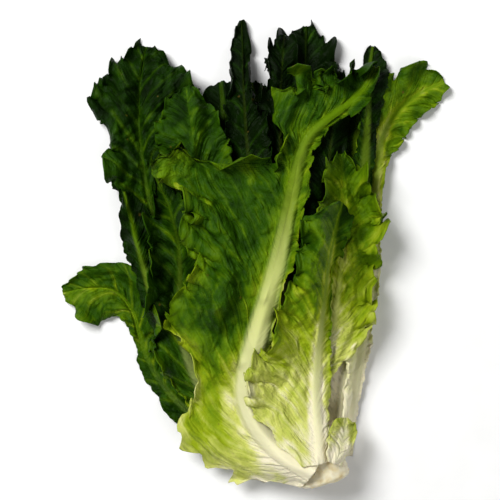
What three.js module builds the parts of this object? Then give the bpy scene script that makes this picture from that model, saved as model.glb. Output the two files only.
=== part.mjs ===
// A cos lettuce head, cut at the stem and lying on its side.
// Millimetres, +Z up, +Y from the stem to the tips.
// Each leaf is one thin closed solid with its rib. Leaves are laid down one after another from the table up:
// each one rests on what already lies below it, as a sheet with some stiffness, and keeps a gap to it.

import * as THREE from 'three';
import { mergeVertices } from 'three/addons/utils/BufferGeometryUtils.js';

// ---- Driving dimensions ----
const REACH_LENGTH = 1.0;        // how far the leaves reach along the head, 1 for a head about 320 mm long
const REACH_WIDTH = 1.0;         // how far they reach across it, 1 for a head about 260 mm wide
const STEM_RADIUS = 18;
const STEM_LENGTH = 40;
const STEM_HEADING = 16;         // degrees that the stem leans to the left of +Y
const STEM_STUB = 12;            // how far the stem stands out past the lowest leaves
const STEM_TAPER = 0.75;         // share of its radius that the stem loses by its upper end
const STEM_BEVEL = 2;
const STEM_RINGS = 6;
const STEM_SIDES = 20;
const BLADE_THICKNESS = 1.2;
const RIB_HEIGHT = 2.0;          // how far most ribs stand out of the blade where they leave the stem
const FRONT_RIB_HEIGHT = 7;      // the same for the big rib of the front leaf
const STALK_RIB_HEIGHT = 3.5;    // and for the pale stalks on the right and at the heart
const RIB_HALF_WIDTH = 8;
const RIB_TIP_SHARE = 0.12;      // what is left of the rib's height and width at the tip
const PRESS = 0.5;               // what lies closer to the surface than this is pressed flat on it
const MIN_HALF_WIDTH = 4;
const RIB_SHARE = 0.55;          // the most of a narrow leaf's half-width that its rib takes
const BASE_GAP = 0.6;            // clearance between leaves by the stem
const LOFT = 4.4;                // more clearance than that, out in the blades
const LOFT_START = 90;           // distance from the stem at which the loft is whole
const CELL = 1.0;                // spacing of the height map that the leaves are laid on
const FIELD = 400 * Math.max(REACH_LENGTH, REACH_WIDTH);   // half the side of that map
const EDGE_SAMPLES = 12;          // places along each edge of a leaf's net where its clearance is kept
const ROW_SPACING = 18;
const MIN_ROWS = 5;
const ROUTE_STEPS = 12;          // short steps between two rows, along which the rib's route is followed
const STIFFNESS = 0.3;
const SAG = 0.6;
const SETTLE_ROUNDS = 90;
const CLEAR_ROUNDS = 400;
const CLEAR_ENOUGH = 1e-4;
const MERGE = 1e-4;

const DEGREE = Math.PI / 180;
const GREEN = { dark: 0x2f5412, mid: 0x55821f, lime: 0x9db63c, pale: 0xc6cf7a };

// ---- The leaves, from the table up ----
// base: [share of the stem's radius across, share of its length up] where the rib leaves the stem.
// stations: [distance along the rib, heading in degrees left of +Y, half-width left, half-width right].
// droop: how far the edges hang below the rib; a leaf that cups upwards has a negative one.
// ribDown: the outer side, with the rib, faces the table.
const LEAVES = [
  { name: 'table_leaf_middle', base: [0, 0.02], color: GREEN.mid, columns: 3, droop: -15, ribDown: true,
    stations: [[0, 6, 9, 9], [60, 10, 24, 24], [150, 11, 40, 36], [220, 11, 36, 30], [265, 8, 16, 14]] },
  { name: 'table_leaf_left', base: [-0.6, 0.06], color: GREEN.mid, columns: 3, droop: -17, ribDown: true,
    stations: [[0, 44, 7, 7], [70, 32, 22, 26], [160, 22, 28, 34], [230, 12, 24, 29], [276, 6, 13, 13]] },
  { name: 'table_leaf_right', base: [0.6, 0.05], color: GREEN.mid, columns: 3, droop: -16, ribDown: true,
    stations: [[0, -10, 7, 6], [60, -5, 22, 14], [150, -3, 32, 20], [215, -4, 24, 14], [250, -8, 12, 9]] },
  { name: 'left_lower_leaf', base: [-1.1, 0], color: GREEN.dark, columns: 3, droop: -9, ribDown: true,
    stations: [[0, 72, 7, 7], [35, 64, 11, 10], [75, 52, 13, 14], [115, 33, 8, 17], [150, 14, 7, 18],
      [175, 45, 10, 15], [195, 92, 24, 12], [219, 103, 18, 10]] },
  { name: 'table_leaf_upper', base: [-0.2, 1.15], color: GREEN.mid, columns: 3, droop: -12, ribDown: true,
    stations: [[0, 20, 7, 7], [40, 19, 20, 20], [115, 13, 28, 28], [185, 8, 26, 26], [225, 5, 13, 13]] },
  { name: 'left_tall_leaf', base: [-1, 0.18], color: GREEN.dark, columns: 4, droop: 3, ribDown: true,
    stations: [[0, 43, 6, 6], [60, 35, 13, 17], [120, 27, 15, 26], [180, 17, 17, 30], [230, 8, 24, 36],
      [275, -1, 25, 42], [313, -12, 17, 26]] },
  { name: 'right_leaf', rib: STALK_RIB_HEIGHT, base: [0.85, -0.05], color: GREEN.lime, columns: 3, droop: 2,
    ribDown: true,
    stations: [[0, -8, 11, 9], [60, -8, 12, 9], [125, -7, 17, 10], [180, -4, 17, 6], [208, -10, 13, 10],
      [232, -30, 16, 13], [256, -52, 17, 12], [284, -70, 12, 10]] },
  { stem: true },
  { name: 'upper_back_leaf_right', base: [0.2, 1.25], color: GREEN.dark, columns: 3, droop: 3,
    stations: [[0, -2, 6, 6], [45, -1, 18, 18], [120, 0, 26, 20], [200, 0, 25, 19], [252, -2, 17, 15]] },
  { name: 'upper_back_leaf_left', base: [-0.2, 1.2], color: GREEN.dark, columns: 3, droop: 4,
    stations: [[0, 5, 6, 6], [45, 4, 20, 16], [120, 3, 26, 20], [195, -1, 21, 18], [249, -5, 14, 14]] },
  { name: 'upper_middle_leaf', base: [-0.5, 1.15], color: GREEN.dark, columns: 3, droop: 4,
    stations: [[0, 15, 6, 6], [55, 10, 20, 20], [135, 7, 24, 22], [195, 4, 18, 14], [235, 1, 12, 11],
      [266, 4, 9, 9]] },
  { name: 'heart_leaf_left', base: [-0.2, 1.6], color: GREEN.pale, columns: 3, droop: 3,
    stations: [[0, 16, 5, 5], [50, 12, 14, 14], [105, 10, 16, 15], [140, 8, 6, 6]] },
  { name: 'heart_leaf_middle', base: [0, 1.7], color: GREEN.pale, columns: 3, droop: 3,
    stations: [[0, 4, 5, 5], [50, 3, 13, 13], [100, 2, 15, 14], [130, 0, 6, 6]] },
  { name: 'heart_leaf_right', base: [0.3, 1.6], color: GREEN.pale, columns: 3, droop: 3,
    stations: [[0, -4, 5, 5], [45, -4, 12, 11], [90, -4, 13, 12], [120, -4, 5, 5]] },
  { name: 'upper_right_leaf', base: [1, 0.16], color: GREEN.dark, columns: 3, droop: 4,
    stations: [[0, -8, 4, 4], [60, -5, 14, 8], [130, -4, 15, 8], [200, -3, 8, 6], [245, -4, 5, 11],
      [277, -11, 6, 8]] },
  { name: 'left_inner_leaf', base: [-1.2, 1.0], color: GREEN.mid, columns: 3, droop: 8,
    stations: [[0, 22, 6, 6], [50, 19, 19, 20], [120, 14, 24, 22], [180, 12, 27, 22], [212, 9, 26, 22],
      [232, 8, 17, 15]] },
  { name: 'left_middle_leaf', base: [-1.1, 0.08], color: GREEN.mid, columns: 3, droop: 6,
    stations: [[0, 58, 5, 6], [45, 48, 11, 18], [100, 33, 13, 24], [150, 19, 10, 25], [195, 14, 10, 22],
      [226, 12, 5, 7]] },
  { name: 'left_front_leaf', base: [-0.9, 0.04], color: GREEN.dark, columns: 4, droop: 9,
    stations: [[0, 68, 5, 5], [35, 54, 12, 14], [75, 35, 18, 28], [115, 16, 26, 34], [150, -2, 25, 33],
      [180, 4, 28, 24], [210, 20, 18, 12], [235, 30, 6, 6]] },
  { name: 'inner_right_leaf', base: [0.3, 1.1], color: GREEN.dark, columns: 3, droop: 5,
    stations: [[0, 0, 6, 6], [35, -3, 15, 11], [105, -6, 22, 15], [175, -7, 22, 13], [225, -9, 14, 10]] },
  { name: 'right_front_leaf', base: [0.15, 0.6], color: GREEN.lime, columns: 4, droop: 6,
    stations: [[0, -8, 6, 6], [40, -11, 8, 7], [68, -10, 13, 13], [92, -7, 18, 19], [130, -4, 20, 23],
      [165, 2, 19, 21], [188, 6, 11, 12]] },
  { name: 'front_leaf', rib: FRONT_RIB_HEIGHT, base: [-0.3, 0], color: GREEN.mid, columns: 4, droop: 26,
    stations: [[0, 58, 15, 10], [26, 54, 30, 11], [43, 38, 47, 11], [60, 16, 57, 11], [80, -6, 55, 12],
      [110, -15, 60, 12], [150, -14, 56, 11], [185, -12, 74, 11], [209, -12, 99, 11], [225, -14, 58, 10],
      [241, -24, 34, 9], [260, -52, 50, 9], [288, -46, 40, 10], [316, -22, 14, 9]] },
  { name: 'heart_front_leaf', rib: STALK_RIB_HEIGHT, base: [0.05, 0.1], color: GREEN.lime, columns: 4,
    droop: 8,
    stations: [[0, 6, 13, 10], [28, 4, 33, 10], [43, 0, 44, 10], [63, -4, 35, 11], [85, -6, 26, 11],
      [118, -6, 18, 11], [148, -13, 19, 12], [174, -16, 12, 10]] },
  { name: 'small_heart_leaf', base: [0.5, 0.02], color: GREEN.pale, columns: 3, droop: 2,
    stations: [[0, -30, 5, 5], [14, -18, 10, 8], [30, -5, 5, 5]] },
];

// A smooth value between the stations of a leaf, by distance along its rib.
function atStation(stations, distance, column) {
  const last = stations.length - 1;
  let k = 0;
  while (k < last - 1 && distance > stations[k + 1][0]) k += 1;
  const [a, b] = [stations[k], stations[k + 1]];
  const before = stations[Math.max(0, k - 1)];
  const after = stations[Math.min(last, k + 2)];
  const t = Math.min(1, Math.max(0, (distance - a[0]) / (b[0] - a[0])));
  const slope = (p, q) => (q[0] === p[0] ? 0 : (q[column] - p[column]) / (q[0] - p[0]));
  const span = b[0] - a[0];
  const m0 = slope(before, b) * span;
  const m1 = slope(a, after) * span;
  const t2 = t * t;
  const t3 = t2 * t;
  return (2 * t3 - 3 * t2 + 1) * a[column] + (t3 - 2 * t2 + t) * m0
    + (3 * t2 - 2 * t3) * b[column] + (t3 - t2) * m1;
}

// ---- The height map: the top of everything laid down so far ----
const SIZE = Math.ceil((2 * FIELD) / CELL);
const heights = new Float64Array(SIZE * SIZE);
const cellOf = (value) => Math.floor((value + FIELD) / CELL);
const centreOf = (index) => (index + 0.5) * CELL - FIELD;

// The highest thing in a cell or beside it, so that slopes between the cells are covered too.
function heightNear(i, j) {
  let top = 0;
  for (let di = -1; di <= 1; di += 1) {
    for (let dj = -1; dj <= 1; dj += 1) top = Math.max(top, heights[(j + dj) * SIZE + i + di]);
  }
  return top;
}

// Calls visit(i, j, weights) for each cell whose centre lies in the plan of a triangle.
function eachCell([a, b, c], visit) {
  const area = (b.x - a.x) * (c.y - a.y) - (b.y - a.y) * (c.x - a.x);
  const low = { i: cellOf(Math.min(a.x, b.x, c.x)), j: cellOf(Math.min(a.y, b.y, c.y)) };
  const high = { i: cellOf(Math.max(a.x, b.x, c.x)), j: cellOf(Math.max(a.y, b.y, c.y)) };
  for (let j = low.j; j <= high.j; j += 1) {
    for (let i = low.i; i <= high.i; i += 1) {
      const x = centreOf(i);
      const y = centreOf(j);
      const wb = ((x - a.x) * (c.y - a.y) - (y - a.y) * (c.x - a.x)) / area;
      const wc = ((b.x - a.x) * (y - a.y) - (b.y - a.y) * (x - a.x)) / area;
      if (wb >= 0 && wc >= 0 && wb + wc <= 1) visit(i, j, [1 - wb - wc, wb, wc]);
    }
  }
}

// ---- A leaf's plan: rows along the rib, columns from its left edge to its right edge ----
function leafPlan(leaf) {
  const length = leaf.stations.at(-1)[0];
  const rows = Math.max(MIN_ROWS, Math.round(length / ROW_SPACING) + 1);
  const shares = [];
  for (let k = leaf.columns - 1; k >= 0; k -= 1) shares.push(k / (leaf.columns - 1));
  const rowLength = length / (rows - 1);
  const step = rowLength / ROUTE_STEPS;
  const lean = STEM_HEADING * DEGREE;
  const up = leaf.base[1] * STEM_LENGTH;
  const across = leaf.base[0] * STEM_RADIUS;
  let x = across * Math.cos(lean) - up * Math.sin(lean);
  let y = across * Math.sin(lean) + up * Math.cos(lean);
  const plan = [];
  for (let r = 0; r < rows; r += 1) {
    const distance = rowLength * r;
    const heading = atStation(leaf.stations, distance, 1) * DEGREE;
    const left = Math.max(MIN_HALF_WIDTH, atStation(leaf.stations, distance, 2));
    const right = Math.max(MIN_HALF_WIDTH, atStation(leaf.stations, distance, 3));
    const fade = 1 - (1 - RIB_TIP_SHARE) * (distance / length);
    const ribHalf = Math.min(RIB_HALF_WIDTH * fade, RIB_SHARE * Math.min(left, right));
    const offsets = [
      ...shares.map((share) => -(ribHalf + share * (left - ribHalf))),
      0,
      ...[...shares].reverse().map((share) => ribHalf + share * (right - ribHalf)),
    ];
    plan.push(offsets.map((offset) => ({
      x: x + offset * Math.cos(heading) * REACH_WIDTH,
      y: y + offset * Math.sin(heading) * REACH_WIDTH,
      across: offset < 0 ? -offset / left : offset / right,
      rib: Math.abs(offset) <= (leaf.ribDown ? ribHalf : 0) ? (leaf.rib ?? RIB_HEIGHT) * fade : 0,
      distance,
    })));
    for (let s = 0; s < ROUTE_STEPS; s += 1) {
      const along = Math.min(distance + step * (s + 0.5), length);
      const turn = atStation(leaf.stations, along, 1) * DEGREE;
      x -= Math.sin(turn) * step * REACH_WIDTH;
      y += Math.cos(turn) * step * REACH_LENGTH;
    }
  }
  return plan;
}

// ---- Laying a leaf on what is below it ----
function gapAt(distance) {
  return BASE_GAP + LOFT * Math.min(1, distance / LOFT_START);
}

function layLeaf(leaf) {
  const plan = leafPlan(leaf);
  const rows = plan.length;
  const columns = plan[0].length;
  const points = plan.flat();
  const middle = (columns - 1) / 2;
  const id = (r, c) => r * columns + c;
  const faces = [];
  for (let r = 0; r < rows - 1; r += 1) {
    for (let c = 0; c < columns - 1; c += 1) {
      faces.push([id(r, c), id(r, c + 1), id(r + 1, c + 1)]);
      faces.push([id(r, c), id(r + 1, c + 1), id(r + 1, c)]);
    }
  }
  const below = points.map((p) => BLADE_THICKNESS / 2 + (leaf.ribDown ? p.rib : 0));
  const above = points.map((p) => BLADE_THICKNESS / 2 + (leaf.ribDown ? 0 : p.rib));

  // What the leaf must stay above, at each cell of its plan and at each of its points.
  const needs = [];
  const need = (i, j, ids, weights) => {
    const floor = heightNear(i, j);
    let depth = 0;
    let distance = 0;
    ids.forEach((n, k) => {
      depth += weights[k] * below[n];
      distance += weights[k] * points[n].distance;
    });
    const gap = floor > 0 ? gapAt(distance) : 0;
    needs.push({ ids, weights, z: floor + gap + depth, norm: weights.reduce((s, w) => s + w * w, 0) });
  };
  faces.forEach((face) => {
    eachCell(face.map((n) => points[n]), (i, j, weights) => need(i, j, face, weights));
  });
  points.forEach((p, n) => need(cellOf(p.x), cellOf(p.y), [n], [1]));
  faces.forEach(([a, b, c]) => {
    [[a, b], [b, c], [c, a]].forEach(([m, n]) => {
      for (let k = 1; k < EDGE_SAMPLES; k += 1) {
        const t = k / EDGE_SAMPLES;
        const x = points[m].x + (points[n].x - points[m].x) * t;
        const y = points[m].y + (points[n].y - points[m].y) * t;
        need(cellOf(x), cellOf(y), [m, n], [1 - t, t]);
      }
    });
  });

  const z = new Float64Array(points.length);
  const raise = () => {
    let worst = 0;
    needs.forEach(({ ids, weights, z: least, norm }) => {
      let now = 0;
      ids.forEach((n, k) => { now += weights[k] * z[n]; });
      const short = least - now;
      if (short <= 0) return;
      worst = Math.max(worst, short);
      ids.forEach((n, k) => { z[n] += (weights[k] * short) / norm; });
    });
    return worst;
  };
  // Where the sheet isn't held up, it keeps its rest shape and sinks a little each round.
  const rest = points.map((p) => -leaf.droop * p.across ** 2);
  const settle = () => {
    const bend = z.map((level, n) => level - rest[n]);
    for (let r = 0; r < rows; r += 1) {
      for (let c = 0; c < columns; c += 1) {
        let sum = 0;
        let count = 0;
        [[r - 1, c], [r + 1, c], [r, c - 1], [r, c + 1]].forEach(([nr, nc]) => {
          if (nr < 0 || nc < 0 || nr >= rows || nc >= columns) return;
          sum += bend[id(nr, nc)];
          count += 1;
        });
        z[id(r, c)] += STIFFNESS * (sum / count - bend[id(r, c)]) - SAG;
      }
    }
  };
  points.forEach((p, n) => { z[n] = rest[n]; });
  for (let round = 0; round < SETTLE_ROUNDS; round += 1) {
    raise();
    settle();
  }
  for (let round = 0; round < CLEAR_ROUNDS; round += 1) {
    if (raise() < CLEAR_ENOUGH) break;
  }
  const top = points.map((p, n) => new THREE.Vector3(p.x, p.y, z[n] + above[n]));
  // A rib that lies on the surface is pressed flat along it.
  const pressed = (level) => (level < PRESS ? 0 : level);
  const bottom = points.map((p, n) => new THREE.Vector3(p.x, p.y, pressed(z[n] - below[n])));
  faces.forEach((face) => {
    eachCell(face.map((n) => points[n]), (i, j, weights) => {
      const level = face.reduce((sum, n, k) => sum + weights[k] * top[n].z, 0);
      heights[j * SIZE + i] = Math.max(heights[j * SIZE + i], level);
    });
    face.forEach((m, k) => {
      const n = face[(k + 1) % 3];
      for (let step = 0; step < EDGE_SAMPLES; step += 1) {
        const edge = top[m].clone().lerp(top[n], step / EDGE_SAMPLES);
        const at = cellOf(edge.y) * SIZE + cellOf(edge.x);
        heights[at] = Math.max(heights[at], edge.z);
      }
    });
  });
  return { top, bottom, faces, rows, columns };
}

// The two sheets and the wall round their rim, as one closed solid.
function leafGeometry({ top, bottom, faces, rows, columns }) {
  const positions = [];
  const triangle = (a, b, c) => [a, b, c].forEach((p) => positions.push(p.x, p.y, p.z));
  faces.forEach(([a, b, c]) => {
    triangle(top[a], top[b], top[c]);
    triangle(bottom[a], bottom[c], bottom[b]);
  });
  const rim = [];
  for (let c = 0; c < columns - 1; c += 1) rim.push(c);
  for (let r = 0; r < rows - 1; r += 1) rim.push(r * columns + columns - 1);
  for (let c = columns - 1; c > 0; c -= 1) rim.push((rows - 1) * columns + c);
  for (let r = rows - 1; r > 0; r -= 1) rim.push(r * columns);
  rim.forEach((n, k) => {
    const m = rim[(k + 1) % rim.length];
    triangle(top[n], bottom[n], bottom[m]);
    triangle(top[n], bottom[m], top[m]);
  });
  const geometry = new THREE.BufferGeometry();
  geometry.setAttribute('position', new THREE.Float32BufferAttribute(positions, 3));
  const merged = mergeVertices(geometry, MERGE);
  merged.computeVertexNormals();
  return merged;
}

// ---- The cut stem: a short tapering stump on its side ----
function stemRadiusAt(along) {
  const share = Math.max(0, along) / STEM_LENGTH;
  return STEM_RADIUS * (1 - STEM_TAPER * share * share);
}

function layStem() {
  const cut = -STEM_STUB;
  const profile = [new THREE.Vector2(0, cut), new THREE.Vector2(STEM_RADIUS - STEM_BEVEL, cut)];
  for (let k = 0; k <= STEM_RINGS; k += 1) {
    const along = cut + STEM_BEVEL + ((STEM_LENGTH - cut - STEM_BEVEL) * k) / STEM_RINGS;
    profile.push(new THREE.Vector2(stemRadiusAt(along), along));
  }
  profile.push(new THREE.Vector2(0, STEM_LENGTH));
  const lean = STEM_HEADING * DEGREE;
  const cells = [];
  let level = 0;
  for (let j = 0; j < SIZE; j += 1) {
    for (let i = 0; i < SIZE; i += 1) {
      const x = centreOf(i);
      const y = centreOf(j);
      const along = -x * Math.sin(lean) + y * Math.cos(lean);
      const across = x * Math.cos(lean) + y * Math.sin(lean);
      if (along < cut - CELL || along > STEM_LENGTH + CELL) continue;
      const radius = stemRadiusAt(Math.min(STEM_LENGTH, Math.max(0, along)));
      if (Math.abs(across) >= radius) continue;
      const half = Math.sqrt(radius * radius - across * across);
      level = Math.max(level, heightNear(i, j) + BASE_GAP + half);
      cells.push({ at: j * SIZE + i, half });
    }
  }
  cells.forEach(({ at, half }) => { heights[at] = Math.max(heights[at], level + half); });
  const material = new THREE.MeshStandardMaterial({ color: 0xe6dcbc, roughness: 0.6, metalness: 0 });
  const stem = new THREE.Mesh(new THREE.LatheGeometry(profile, STEM_SIDES), material);
  stem.name = 'cut_stem';
  stem.rotation.z = lean;
  stem.position.z = level;
  return stem;
}

// ---- The head ----
const head = new THREE.Group();
LEAVES.forEach((leaf) => {
  if (leaf.stem) {
    head.add(layStem());
    return;
  }
  const material = new THREE.MeshStandardMaterial({ color: leaf.color, roughness: 0.5, metalness: 0 });
  const mesh = new THREE.Mesh(leafGeometry(layLeaf(leaf)), material);
  mesh.name = leaf.name;
  head.add(mesh);
});
const box = new THREE.Box3().setFromObject(head, true);
head.position.set(-(box.min.x + box.max.x) / 2, -(box.min.y + box.max.y) / 2, -box.min.z);

export default head;
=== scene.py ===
"""A cos lettuce head on a pale table, grown leaf by leaf over the frame's plain leaves."""

import math

import bmesh
import bpy
import numpy as np
from bpy.props import FloatProperty, FloatVectorProperty, PointerProperty
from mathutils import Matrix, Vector


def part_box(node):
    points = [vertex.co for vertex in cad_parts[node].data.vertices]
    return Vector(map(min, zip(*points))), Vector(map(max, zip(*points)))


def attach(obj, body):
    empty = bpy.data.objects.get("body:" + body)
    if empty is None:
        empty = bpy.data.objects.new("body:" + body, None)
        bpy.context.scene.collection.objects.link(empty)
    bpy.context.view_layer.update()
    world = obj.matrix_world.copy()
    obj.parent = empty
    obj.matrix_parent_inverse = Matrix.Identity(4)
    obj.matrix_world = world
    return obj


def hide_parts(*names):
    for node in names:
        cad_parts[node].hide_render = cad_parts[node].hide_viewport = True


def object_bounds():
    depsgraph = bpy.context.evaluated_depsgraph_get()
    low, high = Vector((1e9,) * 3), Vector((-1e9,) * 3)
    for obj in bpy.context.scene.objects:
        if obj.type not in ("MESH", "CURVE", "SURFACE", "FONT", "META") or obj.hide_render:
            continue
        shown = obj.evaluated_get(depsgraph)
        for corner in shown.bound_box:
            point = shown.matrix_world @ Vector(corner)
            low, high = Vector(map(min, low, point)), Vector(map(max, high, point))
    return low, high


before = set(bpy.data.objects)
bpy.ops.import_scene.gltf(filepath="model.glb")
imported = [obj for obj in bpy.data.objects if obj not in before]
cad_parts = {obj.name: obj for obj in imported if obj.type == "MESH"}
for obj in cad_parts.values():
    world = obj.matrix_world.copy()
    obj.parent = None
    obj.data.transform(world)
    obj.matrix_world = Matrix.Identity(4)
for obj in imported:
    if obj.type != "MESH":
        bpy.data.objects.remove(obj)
CAD_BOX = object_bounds()

bl_info = {
    "name": "Cos Lettuce Head",
    "version": (1, 0, 0),
    "blender": (4, 5, 0),
    "location": "View3D > Sidebar > Lettuce",
    "description": "Grows ruffled leaves and a cut stem over the plain leaves of a frame",
    "category": "Object",
}

MM = 0.001


def colour(code):
    """An sRGB hex colour as linear red, green and blue."""
    parts = [int(code[k:k + 2], 16) / 255 for k in (1, 3, 5)]
    return tuple(p / 12.92 if p <= 0.04045 else ((p + 0.055) / 1.055) ** 2.4 for p in parts)


def paint(name, description, code):
    return FloatVectorProperty(name=name, description=description, subtype="COLOR", size=3,
                               min=0, max=1, default=colour(code))


def length(name, description, millimetres):
    return FloatProperty(name=name, description=description, default=millimetres * MM,
                         min=0, subtype="DISTANCE", unit="LENGTH")


class LettuceLeafSettings(bpy.types.PropertyGroup):
    blade: length("Blade", "Thickness of a leaf away from its rib", 0.7)
    ruffle_depth: length("Ruffle depth", "How far the margins rise and fall", 6.0)
    ruffle_length: length("Ruffle length", "Distance from one ruffle to the next", 24.0)
    fold_depth: length("Fold depth", "Depth of the broad folds along the side veins", 3.4)
    pleat_depth: length("Pleat depth", "How far the blade is pleated along its side veins", 3.8)
    pleat_width: length("Pleat width", "Distance from one pleat to the next", 8.0)
    blister_depth: length("Blister depth", "How far the skin puffs up between the veins", 5.0)
    blister_size: length("Blister size", "Width of one blister", 11.0)
    vein_spacing: length("Vein spacing", "Distance between side veins along the rib", 15.0)
    vein_width: length("Vein width", "Half-width of a side vein by the rib", 1.0)
    vein_height: length("Vein height", "How far a side vein stands out by the rib", 0.6)
    vein_angle: FloatProperty(name="Vein angle", description="Angle at which a side vein leaves the rib",
                              default=math.radians(30), subtype="ANGLE", unit="ROTATION")


class LettuceColourSettings(bpy.types.PropertyGroup):
    base: paint("Base", "Pale flesh by the stem", "#F0E8C8")
    pale: paint("Pale", "Young blade, shaded from the light", "#CBD06A")
    lime: paint("Lime", "Lower blade", "#93A617")
    bright: paint("Bright", "Middle of the blade", "#5C7D06")
    deep: paint("Deep", "Upper blade", "#2A4D02")
    dark: paint("Dark", "Outer tips", "#132D01")
    darkest: paint("Darkest", "Oldest outer tips", "#081701")
    rib: paint("Rib", "Rib half-way along the leaf", "#CBD080")
    rib_top: paint("Rib top", "Rib towards the tip", "#778B28")
    blemish: paint("Blemish", "Small bruises", "#6E5A22")


# ---- Noise ----

def lattice(ix, iy, seed):
    """A repeatable number from 0 to 1 for each whole-number place."""
    n = np.sin(ix * 127.1 + iy * 311.7 + seed * 74.7) * 43758.5453
    return n - np.floor(n)


def smooth_noise(x, y, seed):
    """Smooth noise from -1 to 1 with features one unit across."""
    ix, iy = np.floor(x), np.floor(y)
    fx, fy = x - ix, y - iy
    fx, fy = fx * fx * (3 - 2 * fx), fy * fy * (3 - 2 * fy)
    low = lattice(ix, iy, seed) * (1 - fx) + lattice(ix + 1, iy, seed) * fx
    high = lattice(ix, iy + 1, seed) * (1 - fx) + lattice(ix + 1, iy + 1, seed) * fx
    return 2 * (low * (1 - fy) + high * fy) - 1


def creases(x, y, seed):
    """Swells between sharp creases about one unit apart, from 0 in a crease to 1."""
    coarse = np.abs(smooth_noise(x, y, seed)) ** 0.8
    return 0.68 * coarse + 0.32 * np.abs(smooth_noise(2.4 * x + 5, 2.4 * y, seed + 2)) ** 0.8


def ease(low, high, value):
    """A smooth step from 0 where the value is at low to 1 where it is at high."""
    share = np.clip((value - low) / (high - low), 0, 1)
    return share * share * (3 - 2 * share)


# ---- Reading a plain leaf of the frame ----

SHEET_TILT = 0.05        # a face whose normal rises or falls less than this belongs to the rim
WELD = 0.02 * MM         # corners closer than this are one corner
PER_METRE = 1e5          # upper and lower points are matched in steps of 0.01 mm


def merged_copy(node):
    """The node's triangles with their shared corners joined."""
    bm = bmesh.new()
    bm.from_mesh(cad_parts[node].data)
    bmesh.ops.remove_doubles(bm, verts=bm.verts, dist=WELD)
    bm.normal_update()
    return bm


def grid_corners(faces_of, loop):
    """Where the loop turns a corner of the sheet, which is where fewer than three faces meet."""
    corners = [k for k, v in enumerate(loop) if len(faces_of[v]) < 3]
    if len(corners) != 4:
        raise RuntimeError(f"a plain leaf's sheet has {len(corners)} corners, not 4")
    return corners


def boundary_loop(faces):
    """The sheet's rim vertices in order, with the sheet on the left."""
    following = {}
    edges = {(f[k], f[(k + 1) % 3]) for f in faces for k in range(3)}
    for a, b in edges:
        if (b, a) not in edges:
            following[a] = b
    start = min(following)
    loop = [start]
    while following[loop[-1]] != start:
        loop.append(following[loop[-1]])
    return loop


def sheet_sides(co, faces_of, loop, stem_end):
    """The loop cut at its corners into base, right, tip and left. The base is the side nearest the stem."""
    corners = grid_corners(faces_of, loop)
    loop = loop[corners[0]:] + loop[:corners[0]]
    marks = [c - corners[0] for c in corners] + [len(loop)]
    ring = loop + [loop[0]]
    sides = [ring[marks[k]:marks[k + 1] + 1] for k in range(4)]
    near = [np.linalg.norm(co[s][:, :2].mean(0) - stem_end) for s in sides]
    first = int(np.argmin(near))
    return [sides[(first + k) % 4] for k in range(4)]


def places_in_net(faces_of, base, right, tip, left):
    """The row and column of each vertex of a sheet. Row 0 is the base and column 0 the left side."""
    rows, columns = len(right), len(base)
    place = {}
    for c, v in enumerate(base):
        place[v] = (0, c)
    for r, v in enumerate(right):
        place[v] = (r, columns - 1)
    for c, v in enumerate(reversed(tip)):
        place[v] = (rows - 1, c)
    for r, v in enumerate(reversed(left)):
        place[v] = (r, 0)
    # Inside, each point's place is the mean of its neighbours' places.
    inner = [v for v in faces_of if v not in place]
    order = {v: k for k, v in enumerate(inner)}
    system = np.eye(len(inner))
    known = np.zeros((len(inner), 2))
    for v in inner:
        beside = {n for f in faces_of[v] for n in f} - {v}
        for n in beside:
            if n in order:
                system[order[v], order[n]] -= 1 / len(beside)
            else:
                known[order[v]] += np.array(place[n]) / len(beside)
    if inner:
        for v, spot in zip(inner, np.linalg.solve(system, known)):
            place[v] = tuple(int(round(q)) for q in spot)
    return place


def read_leaf(node, stem_end):
    """The points of the node's upper and under sheet, as [row along the rib, column across it, xyz]."""
    bm = merged_copy(node)
    co = np.array([v.co[:] for v in bm.verts])
    upper = [[v.index for v in f.verts] for f in bm.faces if f.normal.z > SHEET_TILT]
    under = {v.index for f in bm.faces if f.normal.z < -SHEET_TILT for v in f.verts}
    bm.free()
    faces_of = {}
    for f in upper:
        for v in f:
            faces_of.setdefault(v, []).append(f)
    sides = sheet_sides(co, faces_of, boundary_loop(upper), stem_end)
    place = places_in_net(faces_of, *sides)
    rows, columns = len(sides[1]), len(sides[0])
    if len(set(place.values())) != rows * columns:
        raise RuntimeError(f"the net of {node} has {len(set(place.values()))} places, not {rows * columns}")
    beneath = {}
    for v in under:
        beneath[tuple(np.round(co[v][:2] * PER_METRE).astype(int))] = co[v][2]
    top = np.zeros((rows, columns, 3))
    bottom = np.zeros((rows, columns, 3))
    for v, (r, c) in place.items():
        top[r, c] = co[v]
        x, y = np.round(co[v][:2] * PER_METRE).astype(int)
        near_levels = [beneath[x + dx, y + dy] for dx in (0, -1, 1) for dy in (0, -1, 1)
                       if (x + dx, y + dy) in beneath]
        bottom[r, c] = (co[v][0], co[v][1], near_levels[0])
    return top, bottom


# ---- Smooth surface through a leaf's net ----

def spline_weights(t):
    """The shares of four neighbours in a row, for a place between the middle two."""
    t2, t3 = t * t, t * t * t
    return (0.5 * (2 * t2 - t - t3), 0.5 * (2 - 5 * t2 + 3 * t3),
            0.5 * (t + 4 * t2 - 3 * t3), 0.5 * (t3 - t2))


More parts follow.
